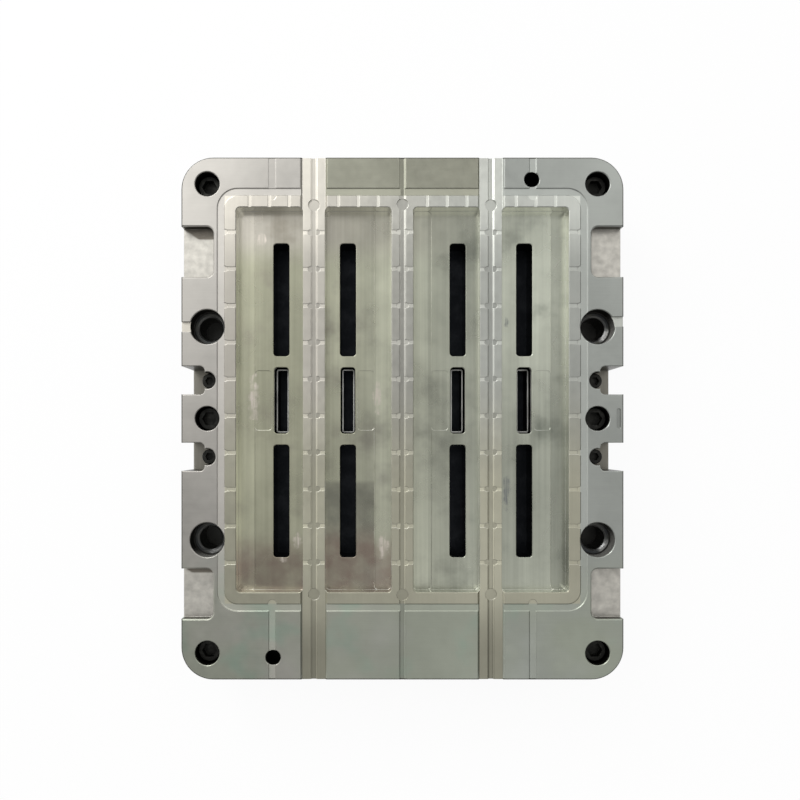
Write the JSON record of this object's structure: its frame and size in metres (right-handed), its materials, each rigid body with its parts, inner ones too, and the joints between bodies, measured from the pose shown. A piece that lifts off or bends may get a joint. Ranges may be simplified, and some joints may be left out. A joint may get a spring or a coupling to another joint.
{
  "type": "injection mould half",
  "caption": "Steel mould half with long shallow pockets, deep slots, vent grooves and guide bushes, bolted to a backing plate.",
  "frame": {"origin": "centre of the back face", "axes": "+Z out of the parting face, +Y along the pockets towards the engraved end, +X across the pockets to the right"},
  "size_m": [0.47, 0.555, 0.082],
  "materials": {
    "cavity_steel": "ground and milled tool steel",
    "backing_steel": "ground mild steel",
    "bush_steel": "hardened steel, honed bore",
    "insert_steel": "nitrided steel, blue-black",
    "dowel_steel": "ground hardened steel",
    "screw_black": "black oxide alloy steel"
  },
  "bodies": {
    "root": {"cavity_plate": "cavity_steel", "backing_plate": "backing_steel", "guide_bush_upper_left": "bush_steel", "guide_bush_upper_right": "bush_steel", "guide_bush_lower_left": "bush_steel", "guide_bush_lower_right": "bush_steel", "floor_insert_a_upper": "insert_steel", "core_seat_a": "insert_steel", "floor_insert_a_lower": "insert_steel", "floor_insert_b_upper": "insert_steel", "core_seat_b": "insert_steel", "floor_insert_b_lower": "insert_steel", "floor_insert_c_upper": "insert_steel", "core_seat_c": "insert_steel", "floor_insert_c_lower": "insert_steel", "floor_insert_d_upper": "insert_steel", "core_seat_d": "insert_steel", "floor_insert_d_lower": "insert_steel", "plate_screws": "screw_black", "side_screws": "screw_black", "dowel_pins": "dowel_steel"}
  },
  "joints": []
}
